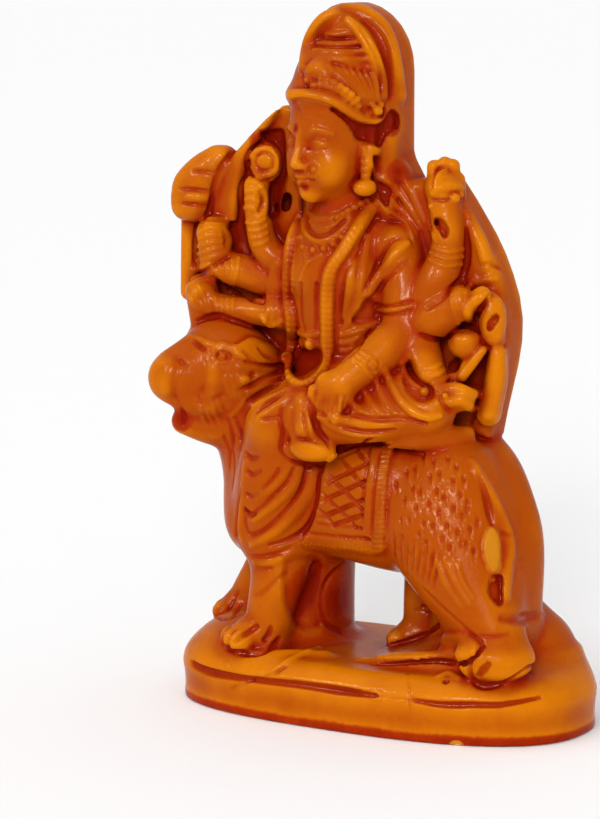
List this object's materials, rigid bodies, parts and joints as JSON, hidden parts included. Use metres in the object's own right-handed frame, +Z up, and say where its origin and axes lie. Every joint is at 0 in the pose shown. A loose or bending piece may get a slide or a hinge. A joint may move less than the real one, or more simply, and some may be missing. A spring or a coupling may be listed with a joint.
{
  "type": "durga figure",
  "caption": "Cast household figure of an eight-armed goddess seated on a walking lion, made in one with its low rocky plinth.",
  "frame": {"origin": "bottom centre of the whole figure's bounding box, on the flat underside of the plinth, whose own centre is 3.2 mm towards +X", "axes": "+Z up the figure, -Y the front that the goddess and the saddle cloth face, -X the way the lion walks"},
  "size_m": [0.0994, 0.0488, 0.1492],
  "materials": {
    "varnished_cast": "gloss"
  },
  "bodies": {
    "root": {"durga_figure": "varnished_cast"}
  },
  "joints": []
}
